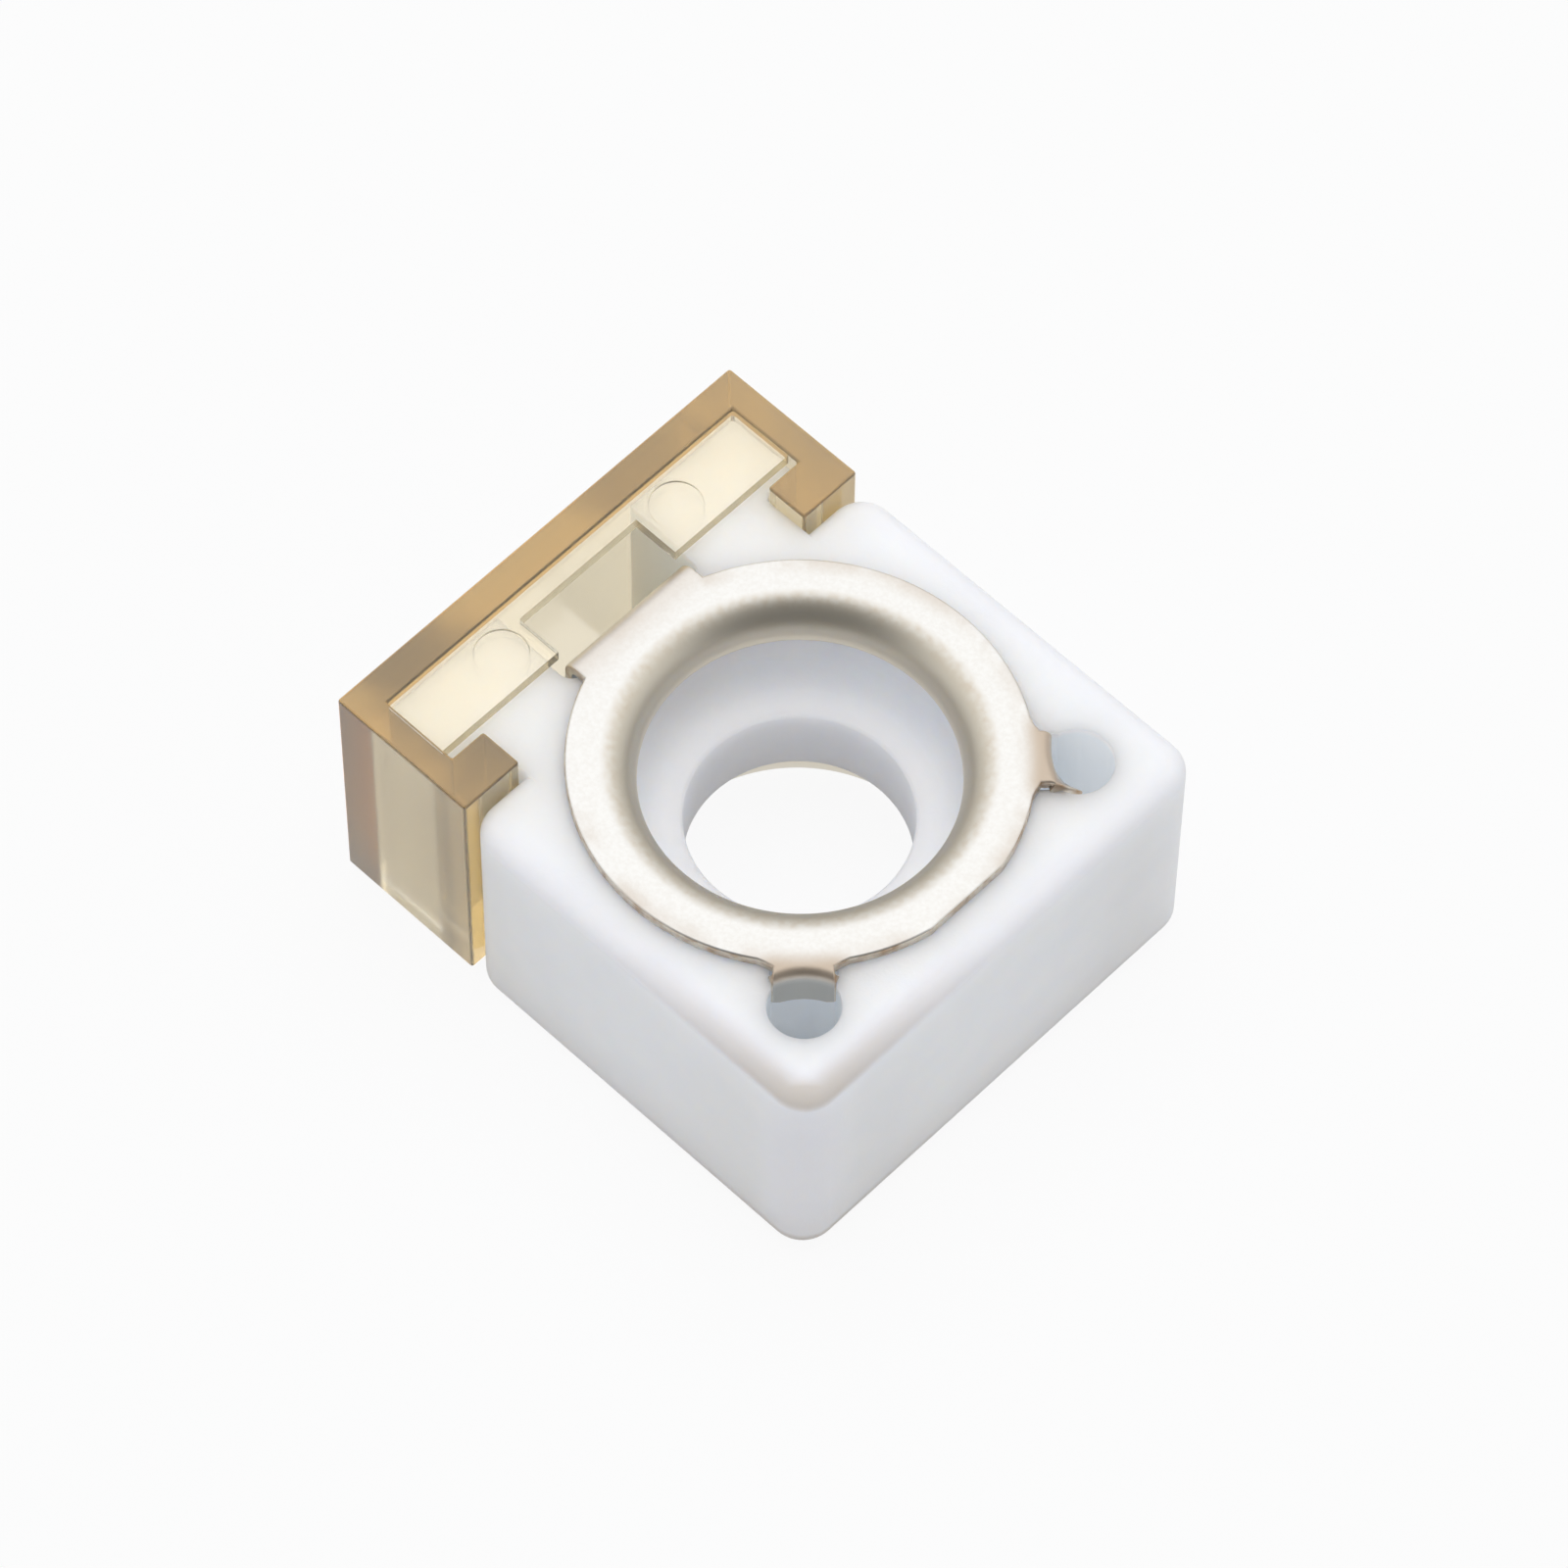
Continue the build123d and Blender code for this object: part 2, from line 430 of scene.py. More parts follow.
head_outline = [
    (-SHOULDER + CORNER_RADIUS, NECK_HALF),
    (-EAR_FRONT, NECK_HALF),
    (-EAR_FRONT, EAR_HALF),
    (-EAR_BACK, EAR_HALF),
]
head = prism("head", mirrored(head_outline), -BODY_TOP, BODY_TOP)
round_edges(head, HEAD_EDGE_RADIUS, segments=4, question=stands)
combine(ceramic, head, "UNION")
print("with the head:", len(ceramic.data.polygons), "faces")

# %% [markdown]
# The chamber behind the stud gives the melting neck room. Its walls are straight and its two inner
# corners are rounded, as a die leaves them.

# %% The chamber
CHAMBER_REACH = 8.25
CHAMBER_HALF = 3.4
CHAMBER_CORNER_RADIUS = 0.6


def inner_corner(edge):
    """True for the two upright edges at the front of the chamber."""
    return stands(edge) and middle(edge).x > -CHAMBER_REACH - NEAR


room_outline = [(-CHAMBER_REACH, CHAMBER_HALF), (-2 * EAR_BACK, CHAMBER_HALF)]
room = prism("room", mirrored(room_outline), -2 * BODY_TOP, 2 * BODY_TOP)
round_edges(room, CHAMBER_CORNER_RADIUS, segments=6, question=inner_corner)
combine(ceramic, room, "DIFFERENCE")
print("with the chamber:", len(ceramic.data.polygons), "faces")

# %% [markdown]
# The bore is turned, and so is the metal ring later on. A turned shape needs one line that is spun
# round the stud's axis, as on a lathe. Its bends are arcs, so that a bend is a formula and not a
# list. After the full turn the last copy of the line lies on the first, and the doubles are merged.

# %% Helpers for turned shapes
ROUND_STEPS = 192


def arc(centre, radius, start, end, steps):
    """Points of an arc in the XZ plane, angles in degrees."""
    angles = [math.radians(start + (end - start) * i / steps) for i in range(steps + 1)]
    return [(centre[0] + radius * math.cos(a), 0, centre[1] + radius * math.sin(a)) for a in angles]


def spin(name, points):
    """Turn a drawn line round the stud's axis, as on a lathe. Left in edit mode."""
    piece = draw(name, points)
    bpy.ops.mesh.spin(steps=ROUND_STEPS, angle=math.tau, center=(0, 0, 0), axis=(0, 0, 1))
    bpy.ops.mesh.select_all(action="SELECT")
    bpy.ops.mesh.remove_doubles(threshold=0.001)
    bpy.ops.mesh.normals_make_consistent(inside=False)
    return piece


# %% [markdown]
# The bore's tool is the shape of the hole: wide above and below, with a hollow corner at the foot,
# and narrow in the middle where a ledge hugs the stud. Under the metal ring the mouth has a chamfer
# that leaves room for the rolled lip.

# %% The stepped bore
LAND_HEIGHT = 3.3
LAND_EDGE = 0.15
FLOOR_RADIUS = 1.0
LIP_ROLL_RADIUS = 1.4
LIP_GAP = 0.05

pocket_radius = LIP_RADIUS + SHEET + LIP_GAP
flat_start = LIP_RADIUS + LIP_ROLL_RADIUS
land_top = LAND_HEIGHT / 2
foot = (pocket_radius - FLOOR_RADIUS, land_top + FLOOR_RADIUS)
upper_half = [
    (0, 0, 2 * BODY_TOP),
    (flat_start, 0, 2 * BODY_TOP),
    (flat_start, 0, BODY_TOP),
    (pocket_radius, 0, BODY_TOP - (flat_start - pocket_radius)),
    *arc(foot, FLOOR_RADIUS, 0, -90, steps=10),
    *arc((BORE_RADIUS + LAND_EDGE, land_top - LAND_EDGE), LAND_EDGE, 90, 180, steps=4),
]
lower_half = [(x, 0, -z) for x, _, z in reversed(upper_half)]
bore = spin("bore", upper_half + lower_half)
combine(ceramic, bore, "DIFFERENCE")
print("with the bore:", len(ceramic.data.polygons), "faces")

# %% [markdown]
# Two keyholes take the tabs that lock the metal to the block: a slot beside the ring and a round
# hole outside it, straight through the block. Both parts of the tool are made on the X axis, welded
# and then turned to the tab's angle.

# %% The keyholes
LOCK_ANGLE = 45
LOCK_SLOT_START = 8.49
LOCK_SLOT_HALF = 1.16
LOCK_HOLE_REACH = 10.0
LOCK_HOLE_RADIUS = 1.35

slot_outline = [(LOCK_SLOT_START, LOCK_SLOT_HALF), (LOCK_HOLE_REACH, LOCK_SLOT_HALF)]
for side in (-1, 1):
    keyhole = prism("slot", mirrored(slot_outline), -2 * BODY_TOP, 2 * BODY_TOP)
    bpy.ops.object.mode_set(mode="OBJECT")
    bpy.ops.object.select_all(action="DESELECT")
    bpy.ops.mesh.primitive_cylinder_add(
        vertices=64, radius=LOCK_HOLE_RADIUS, depth=4 * BODY_TOP, location=(LOCK_HOLE_REACH, 0, 0)
    )
    hole = bpy.context.object
    bpy.ops.object.transform_apply(location=True)
    combine(keyhole, hole, "UNION")
    keyhole.rotation_euler.z = math.radians(side * LOCK_ANGLE)
    only(keyhole)
    bpy.ops.object.transform_apply(rotation=True)
    combine(ceramic, keyhole, "DIFFERENCE")
print("with the keyholes:", len(ceramic.data.polygons), "faces")

# %% [markdown]
# Every edge that a punch left crisp still has a small radius on fired ceramic, and that radius is
# what catches the light. Edges that turn by more than 50 degrees outwards are picked and rounded.
# The cuts leave points that lie on top of each other, and those are merged before.

# %% Small radii on the crisp edges
CRISP_EDGE_RADIUS = 0.06
CRISP_ANGLE = math.radians(50)
CUT_MERGE = 0.002


def crisp(edge):
    """True for an outward edge that turns sharply."""
    return len(edge.link_faces) == 2 and edge.is_convex and edge.calc_face_angle() > CRISP_ANGLE


only(ceramic)
bpy.ops.object.mode_set(mode="EDIT")
bpy.ops.mesh.select_all(action="SELECT")
bpy.ops.mesh.remove_doubles(threshold=CUT_MERGE)
count = round_edges(ceramic, CRISP_EDGE_RADIUS, segments=3, question=crisp)
bpy.ops.mesh.select_all(action="SELECT")
bpy.ops.mesh.dissolve_degenerate(threshold=0.001)
bpy.ops.object.mode_set(mode="OBJECT")
print("crisp edges rounded:", count)

# %% [markdown]
# Each piece is finished in the same way. Faces with a hollow outline are split, because a renderer
# fills such a face badly. Faces that meet at less than 35 degrees are shaded as one bend, and the
# large flat faces are given the last word on how the light lies on their rounded edges. Then the
# piece is shrunk to metres and stands for its CAD node.

# %% The finished block
SMOOTH_ANGLE = math.radians(35)


def finish_piece(piece, node):
    """Shade a piece, shrink it to metres and let it stand for its CAD node."""
    only(piece)
    bpy.ops.object.mode_set(mode="EDIT")
    bpy.ops.mesh.select_all(action="SELECT")
    bpy.ops.mesh.vert_connect_concave()
    bpy.ops.object.mode_set(mode="OBJECT")
    bpy.ops.object.shade_smooth_by_angle(angle=SMOOTH_ANGLE)
    modify(piece, "WEIGHTED_NORMAL", keep_sharp=True, weight=100)
    piece.scale = (MM, MM, MM)
    bpy.ops.object.transform_apply(scale=True)
    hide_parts(node)
    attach(piece, "root")
    print(piece.name, "has", len(piece.data.polygons), "faces")


finish_piece(ceramic, "ceramic_body")

# %% [markdown]
# ## The fuse strip
# The real strip is stamped from thin sheet and drawn and folded in steps. It is modelled in that
# order as a skin with no thickness, the outer face of the sheet. The ring and its rolled lip are
# turned from one line. Each of the lathe's 192 steps is 1.875 degrees, so tabs and strap can start
# from whole steps. A straight cut on the front of the ring is a bisect.

# %% The ring and its rolled lip
LIP_DEPTH = 1.55
RING_FLAT_CUT = 0.2

lip_line = [
    (RING_RADIUS, 0, CONTACT_TOP),
    *arc((flat_start, CONTACT_TOP - LIP_ROLL_RADIUS), LIP_ROLL_RADIUS, 90, 180, steps=16),
    (LIP_RADIUS, 0, CONTACT_TOP - LIP_DEPTH),
]
strip = spin("fuse_strip", lip_line)
front_cut = RING_RADIUS - RING_FLAT_CUT
bpy.ops.mesh.bisect(plane_co=(front_cut, 0, 0), plane_no=(1, 0, 0), clear_outer=True)
print("ring:", len(lip_line), "rows of", ROUND_STEPS)

# %% [markdown]
# The strap starts from the rim at the back. The rim's vertices there are squeezed into a straight
# line, and that line is extruded along a path: out, over the bend and down to the middle of the
# block. A mirror then gives the lower ring and the lower half of the strap.

# %% The strap
STRAP_HALF = 3.05
STRAP_BEND_RADIUS = 0.25

root_x = -math.sqrt(RING_RADIUS**2 - STRAP_HALF**2)
step_angle = math.tau / ROUND_STEPS
root_steps = int(math.asin(STRAP_HALF / RING_RADIUS) / step_angle)
rim_half = RING_RADIUS * math.sin(root_steps * step_angle)


def at_root(vert):
    """True for the vertices of the rim from which the strap grows."""
    on_rim = vert.co.xy.length > RING_RADIUS - NEAR
    return on_rim and vert.co.x < 0 and abs(vert.co.y) < rim_half + NEAR


pick(strip, "verts", at_root)
bpy.ops.transform.resize(value=(0, STRAP_HALF / rim_half, 1), center_override=(root_x, 0, 0))
bend = STRAP_BEND_RADIUS + SHEET
path = [
    (root_x, 0, CONTACT_TOP),
    *arc((bend - STRAP_REACH, CONTACT_TOP - bend), bend, 90, 180, steps=8),
    (-STRAP_REACH, 0, CONTACT_TOP / 2),
    (-STRAP_REACH, 0, 0),
]
for here, there in zip(path, path[1:]):
    step = Vector(there) - Vector(here)
    bpy.ops.mesh.extrude_region_move(TRANSFORM_OT_translate={"value": step})
bpy.ops.object.mode_set(mode="OBJECT")
modify(strip, "MIRROR", use_axis=(False, False, True), merge_threshold=0.001)
print("strap root at", round(root_x, 3), "mm,", len(strip.data.polygons), "faces")

# %% [markdown]
# Four tabs grow from the rims at 45 degrees and fold down into the keyholes. Each is a sheet of
# cells: columns across it, rows along it. A column has its own fold, given by where it starts, how
# far it turns and how long its leg is. The punch leaves a tab hollow on its outside, so the fold
# starts a little further out towards the tab's sides. One upper tab was caught askew on the real
# part: its near side turns only part of the way and ends in a pointed ear. Same cells, another
# rule.

# %% How the tabs fold
TAB_STEPS = 4
TAB_REACH = 8.95
TAB_BEND = 0.42
TAB_DEPTH = 1.9
TAB_CURVE = 2.4
TAB_CORNER = 0.25
EAR_HOLLOW = 0.16
EAR_STEP = 0.3
EAR_TURN = 60
EAR_CUT = 0.35

tab_half = RING_RADIUS * math.sin(TAB_STEPS * step_angle)
leg_length = TAB_DEPTH - TAB_BEND


def punched(across):
    """Start, turn in degrees and leg length of the fold at a place across a good tab."""
    start = TAB_REACH - TAB_BEND + TAB_CURVE - math.sqrt(TAB_CURVE**2 - across**2)
    return start, 90, leg_length - TAB_CORNER * (across / tab_half) ** 8


def caught(across):
    """The same for the tab that was caught. Its near side has the negative places."""
    near = (1 - across / tab_half) / 2
    start = TAB_REACH - TAB_BEND + EAR_HOLLOW * (across / tab_half) ** 2 + EAR_STEP * near
    return start, 90 - EAR_TURN * near**3, leg_length - EAR_CUT * near


print("tabs", round(2 * tab_half, 2), "mm wide, legs", round(leg_length, 2), "mm long")

# %% [markdown]
# The ring's edge runs into a tab through a small hollow corner. The two rim vertices beside each
# side of the tab are moved out for it, and the tab's first row starts from the same places.

# %% The locking tabs
BEND_STEPS = 10
ROOT_FLARE = {TAB_STEPS: 0.22, TAB_STEPS + 1: 0.08}


def flare_root(turn, side):
    """Move the rim's vertices beside a tab a little outwards."""
    only(strip)
    bpy.ops.object.mode_set(mode="EDIT")
    for step, flare in ROOT_FLARE.items():
        for corner in (-step, step):
            around = Matrix.Rotation(corner * step_angle, 3, "Z") @ turn
            root = around @ Vector((RING_RADIUS, 0, side * CONTACT_TOP))
            pick(strip, "verts", lambda vert: (vert.co - root).length < NEAR)
            bpy.ops.transform.translate(value=turn @ Vector((flare, 0, 0)))
    bpy.ops.object.mode_set(mode="OBJECT")


def fold_tab(angle, side, fold):
    """Make one tab at an angle, on the upper (1) or lower (-1) ring, and join it to the ring."""
    turn = Matrix.Rotation(math.radians(angle), 3, "Z")
    flare_root(turn, side)
    rows = BEND_STEPS + 2
    bpy.ops.mesh.primitive_grid_add(x_subdivisions=rows, y_subdivisions=2 * TAB_STEPS, size=2)
    sheet = bpy.context.object
    for vertex in sheet.data.vertices:
        row = round((vertex.co.x + 1) / 2 * rows)
        step = round(vertex.co.y * TAB_STEPS)
        across = RING_RADIUS * math.sin(step * step_angle)
        start, degrees, leg = fold(across)
        bent = math.radians(degrees) * min(max(row - 1, 0) / BEND_STEPS, 1)
        along = start + TAB_BEND * math.sin(bent)
        down = TAB_BEND * (1 - math.cos(bent))
        if row == 0:
            along = RING_RADIUS * math.cos(step * step_angle) + ROOT_FLARE.get(abs(step), 0)
        if row == rows:
            along += leg * math.cos(bent)
            down += leg * math.sin(bent)
        vertex.co = turn @ Vector((along, across, side * (CONTACT_TOP - down)))
    only(sheet)
    strip.select_set(True)
    bpy.context.view_layer.objects.active = strip
    bpy.ops.object.join()


fold_tab(-LOCK_ANGLE, 1, punched)
fold_tab(LOCK_ANGLE, 1, caught)
fold_tab(-LOCK_ANGLE, -1, punched)
fold_tab(LOCK_ANGLE, -1, punched)
print("skin:", len(strip.data.polygons), "faces")

# %% [markdown]
# Now the skin gets the thickness of the sheet, inwards. For that its faces have to agree on which
# way is out. Its cut edges take a second material, because a punch shears through the tin and bares
# the copper. The inner face has the tin again, in a slot of its own, so that the two faces can be
# told apart.

# %% The sheet's thickness
only(strip)
bpy.ops.object.mode_set(mode="EDIT")
bpy.ops.mesh.select_all(action="SELECT")
bpy.ops.mesh.remove_doubles(threshold=0.001)
bpy.ops.mesh.normals_make_consistent(inside=False)
bpy.ops.object.mode_set(mode="OBJECT")
top_face = max(strip.data.polygons, key=lambda face: face.center.z)
if top_face.normal.z < 0:
    bpy.ops.object.mode_set(mode="EDIT")
    bpy.ops.mesh.select_all(action="SELECT")
    bpy.ops.mesh.flip_normals()
    bpy.ops.object.mode_set(mode="OBJECT")
tin, tin_tree = new_material("tin_plated_copper")
bare, bare_tree = new_material("sheared_copper_edge")
for material in (tin, bare, tin):
    strip.data.materials.append(material)
modify(
    strip,
    "SOLIDIFY",
    thickness=SHEET,
    offset=-1,
    use_even_offset=True,
    material_offset_rim=1,
    material_offset=2,
)
print("sheet:", len(strip.data.polygons), "faces")

# %% [markdown]
# Two round notches leave the narrow neck that melts. The strap's many flat faces are first joined
# to one on each side, so that the cut runs through large faces and leaves no slivers. The walls
# that the punch leaves are bare copper too.

# %% The neck
NECK_HALF_WIDTH = 1.15
LOOKS_BACK = 0.999
WALL_TILT = 0.1
COPPER_SLOT = 1
notch_radius = STRAP_HALF - NECK_HALF_WIDTH


def on_strap(face):
    """True for the flat faces of the upright strap."""
    return abs(face.normal.x) > LOOKS_BACK and face.calc_center_median().x < root_x


def in_notch(face):
    """True for the wall that a punch left."""
    centre = face.calc_center_median()
    from_axis = math.hypot(abs(centre.y) - STRAP_HALF, centre.z)
    return centre.x < root_x and abs(face.normal.x) < WALL_TILT and from_axis < notch_radius + NEAR


only(strip)
bpy.ops.object.mode_set(mode="EDIT")
pick(strip, "faces", on_strap)
bpy.ops.mesh.dissolve_limited(angle_limit=math.radians(1))
for side in (-1, 1):
    bpy.ops.object.mode_set(mode="OBJECT")
    bpy.ops.object.select_all(action="DESELECT")
    bpy.ops.mesh.primitive_cylinder_add(
        vertices=96,
        radius=notch_radius,
        depth=4 * SHEET,
        location=(-STRAP_REACH, side * STRAP_HALF, 0),
        rotation=(0, math.radians(90), 0),
    )
    punch = bpy.context.object
    bpy.ops.object.transform_apply(location=True, rotation=True)
    combine(strip, punch, "DIFFERENCE")
only(strip)
bpy.ops.object.mode_set(mode="EDIT")
walls = pick(strip, "faces", in_notch)
strip.active_material_index = COPPER_SLOT
bpy.ops.object.material_slot_assign()
print("notch walls:", walls)

# %% [markdown]
# A punch also rolls the edge on its own side of the sheet, the outer side here, and leaves the
# other side sharp. So only the outer side's edges are rounded.

# %% The rolled edge of the sheet
SHEET_EDGE_RADIUS = 0.11


def outer(edge):
    """True for a crisp edge of the sheet's outer face, which is in the first slot."""
    return crisp(edge) and any(face.material_index == 0 for face in edge.link_faces)


bpy.ops.mesh.select_all(action="SELECT")
bpy.ops.mesh.remove_doubles(threshold=CUT_MERGE)
count = round_edges(strip, SHEET_EDGE_RADIUS, segments=4, question=outer)
bpy.ops.object.mode_set(mode="OBJECT")
print("sheet edges rounded:", count)
finish_piece(strip, "fuse_element")

# %% [markdown]
# ## The amber cover
# The cover is moulded in one piece: a back wall, two end walls with hooks that slide down behind
# the block's ears, and a thin web across the top with a notch for the strap. The walls are one
# outline, raised. The web is a second one, welded on, so that light passes through one solid.

# %% Walls and hooks
COVER_BACK = -cover_low.x
COVER_HALF = cover_high.y
COVER_TOP = cover_high.z
HOOK_FRONT = -cover_high.x
HOOK_BACK = 8.8
HOOK_TIP = 7.33
INSIDE_BACK = 12.15
INSIDE_HALF = 8.9
COVER_EDGE_RADIUS = 0.12

wall_outline = [
    (-INSIDE_BACK, INSIDE_HALF),
    (-HOOK_BACK, INSIDE_HALF),
    (-HOOK_BACK, HOOK_TIP),
    (-HOOK_FRONT, HOOK_TIP),
    (-HOOK_FRONT, COVER_HALF),
    (-COVER_BACK, COVER_HALF),
]
cover = prism("amber_cover", mirrored(wall_outline), -BODY_TOP, COVER_TOP)
round_edges(cover, COVER_EDGE_RADIUS, 4, lambda edge: middle(edge).z > NEAR - BODY_TOP)
bpy.ops.object.mode_set(mode="OBJECT")
print("walls:", len(cover.data.polygons), "faces")

# %% [markdown]
# The web rests on the head of the block. Two surfaces in exactly the same place can't be told
# apart by a renderer, so its underside is held two hundredths of a millimetre clear. Its outline
# reaches a little way into the walls, so that the weld has something to hold.

# %% The web
WEB_FRONT = 9.3
WEB_TOP = BODY_TOP + 0.55
WEB_CLEARANCE = 0.02
WEB_IN_WALL = 0.6
WEB_NOTCH_HALF = 3.0
WEB_NOTCH_BACK = 11.3

web_outline = [
    (-WEB_NOTCH_BACK, WEB_NOTCH_HALF),
    (-WEB_FRONT, WEB_NOTCH_HALF),
    (-WEB_FRONT, INSIDE_HALF + WEB_IN_WALL),
    (-INSIDE_BACK - WEB_IN_WALL, INSIDE_HALF + WEB_IN_WALL),
]
web = prism("web", mirrored(web_outline), BODY_TOP + WEB_CLEARANCE, WEB_TOP)
combine(cover, web, "UNION")
print("with the web:", len(cover.data.polygons), "faces")

# %% [markdown]
# Two shallow discs on the web are where ejector pins pushed the moulding out of its mould. Their
# tool is a cone and not a cylinder, because a wall that slopes a little is what catches the light.

# %% Ejector marks and mould edges
EJECTOR_RADIUS = 1.05
EJECTOR_DEPTH = 0.05
EJECTOR_SLOPE = 0.04
EJECTOR_SPACING = 4.5
MOULD_EDGE_RADIUS = 0.02

for side in (-1, 1):
    bpy.ops.object.select_all(action="DESELECT")
    bpy.ops.mesh.primitive_cone_add(
        vertices=64,
        radius1=EJECTOR_RADIUS - EJECTOR_SLOPE,
        radius2=EJECTOR_RADIUS + EJECTOR_SLOPE,
        depth=2 * EJECTOR_DEPTH,
        location=(-(WEB_FRONT + INSIDE_BACK) / 2, side * EJECTOR_SPACING, WEB_TOP),
    )
    pin = bpy.context.object
    bpy.ops.object.transform_apply(location=True)
    combine(cover, pin, "DIFFERENCE")
only(cover)
bpy.ops.object.mode_set(mode="EDIT")
bpy.ops.mesh.select_all(action="SELECT")
bpy.ops.mesh.remove_doubles(threshold=CUT_MERGE)
count = round_edges(cover, MOULD_EDGE_RADIUS, segments=2, question=crisp)
bpy.ops.object.mode_set(mode="OBJECT")
print("cover edges rounded:", count)
finish_piece(cover, "window_cover")

# %% [markdown]
# ## The finishes
# The ceramic is steatite, a pressed and fired magnesium silicate, left unglazed. A faint grey-brown
# shade is painted into its rounded top edges, most of it on the front corner, where the top turns
# down into the sides. A finish can't see an edge, but it knows the place of every point. So front,
# side, top and corner are each a share that grows softly from 0 to 1 between two places, and the
# painted shade lies where top and front, or top and side, come together. A trace of it runs down
# the upright front corner. The pairs say where a share begins and where it is full, in millimetres
# from the face or the corner.

# %% Where shade is painted on the block's edges
SHADE_FROM_SIDE = (-1.4, -0.3)
SHADE_FROM_TOP = (-0.9, -0.4)
SHADE_FROM_CORNER = (-2.4, -0.8)
CORNER_FROM = 10
EDGE_SHADE_FAR_OFF = 0.15
EDGE_SHADE_AT_CORNER = 0.9
CORNER_SHADE_TRACE = 0.16

steatite, tree = new_material("unglazed_steatite")
place = add(tree, "ShaderNodeTexCoord").outputs["Object"]
parts = add(tree, "ShaderNodeSeparateXYZ", {0: place}).outputs
x = parts["X"]
y, z = [
    add(tree, "ShaderNodeMath", {0: parts[axis]}, operation="ABSOLUTE").outputs[0]
    for axis in ("Y", "Z")
]
to_corner = add(tree, "ShaderNodeMath", {0: x, 1: parts["Y"]}, operation="SUBTRACT").outputs[0]
at_front, at_side, at_top, at_corner = [
    add(
        tree,
        "ShaderNodeMapRange",
        {"Value": value, "From Min": (face + begins) * MM, "From Max": (face + full) * MM},
        interpolation_type="SMOOTHSTEP",
    ).outputs[0]
    for value, face, (begins, full) in (
        (x, BODY_REACH, SHADE_FROM_SIDE),
        (y, BODY_REACH, SHADE_FROM_SIDE),
        (z, BODY_TOP, SHADE_FROM_TOP),
        (to_corner, 2 * BODY_REACH, SHADE_FROM_CORNER),
    )
]
outermost = add(tree, "ShaderNodeMath", {0: at_front, 1: at_side}, use_clamp=True)
by_corner = add(
    tree,
    "ShaderNodeMapRange",
    {
        "Value": to_corner,
        "From Min": CORNER_FROM * MM,
        "From Max": 2 * BODY_REACH * MM,
        "To Min": EDGE_SHADE_FAR_OFF,
        "To Max": EDGE_SHADE_AT_CORNER,
    },
)
trace = add(tree, "ShaderNodeMath", {0: at_corner, 1: CORNER_SHADE_TRACE}, operation="MULTIPLY")
# The share of painted shade on the rounded top edges and down the front corner.
edge_shade = at_top
for share, operation in ((outermost, "MULTIPLY"), (by_corner, "MULTIPLY"), (trace, "MAXIMUM")):
    edge_shade = add(
        tree, "ShaderNodeMath", {0: edge_shade, 1: share.outputs[0]}, operation=operation
    ).outputs[0]
print("the block's grime is worked out by", len(tree.nodes), "nodes")

# %% [markdown]
# Light runs a few millimetres through fired ceramic, blue light furthest. The keyholes and the
# chamber are lit through their walls, and a pale blue shade is painted in them as well. Another
# share says where that is: near a keyhole's axis, or past the chamber's front wall and between its
# side walls, and in both cases below the top face. The pairs are in millimetres from that axis or
# from those walls.

# %% Where light comes through the walls and blue shade is painted
KEYHOLE_WALL = (2.1, 1.95)
CHAMBER_FRONT = (0.15, -0.05)
CHAMBER_SIDE = (0.7, 0.1)
RECESS_MOUTH = (0, -0.4)

lock_axis = LOCK_HOLE_REACH * math.sin(math.radians(LOCK_ANGLE)) * MM
folded = add(tree, "ShaderNodeCombineXYZ", {0: x, 1: y})
from_lock = add(
    tree,
    "ShaderNodeVectorMath",
    {0: folded.outputs[0], 1: (lock_axis, lock_axis, 0)},
    operation="DISTANCE",
)
in_lock, past_front, between_sides, below_mouth = [
    add(
        tree,
        "ShaderNodeMapRange",
        {"Value": value, "From Min": (wall + begins) * MM, "From Max": (wall + full) * MM},
        interpolation_type="SMOOTHSTEP",
    ).outputs[0]
    for value, wall, (begins, full) in (
        (from_lock.outputs["Value"], 0, KEYHOLE_WALL),
        (x, -CHAMBER_REACH, CHAMBER_FRONT),
        (y, CHAMBER_HALF, CHAMBER_SIDE),
        (z, BODY_TOP, RECESS_MOUTH),
    )
]
in_recess = past_front
for share, operation in (
    (between_sides, "MULTIPLY"),
    (in_lock, "MAXIMUM"),
    (below_mouth, "MULTIPLY"),
):
    in_recess = add(
        tree, "ShaderNodeMath", {0: in_recess, 1: share}, operation=operation
    ).outputs[0]
print("keyholes at", round(lock_axis / MM, 2), "mm to the front and to either side")

# %% [markdown]
# The body is nearly white and faintly cool, with a dry, eggshell surface. Powder never packs quite
# evenly, so the white drifts a little every few millimetres, and the surface has a fine grain of
# about 0.1 mm. The grain is drawn a little coarser than it is, so that it shows at this size. Over
# the white lie a grey-brown painted shade on the rounded top edges and a pale blue painted shade in
# the recesses. In the recesses the light's way through the body is also set longer, because a
# picture made with few bounces would leave them too dark.

# %% Unglazed steatite
DRIFT_SIZE = 2.5
STEATITE_GRAIN = 0.12
STEATITE_WHITES = [(0.3, linear("f2f3fa")), (0.7, linear("f6f6fc"))]
# Painted shade for the rounded top edges.
EDGE_SHADE_COLOUR = "bfb4a5"
# Pale blue painted shade in the keyholes and the chamber.
RECESS_SHADE_COLOUR = "e6f1fe"
LIGHT_WAY = 3.2
RECESS_LIGHT_WAY = 24
RED_GREEN_BLUE_WAYS = (0.9, 1.0, 1.15)

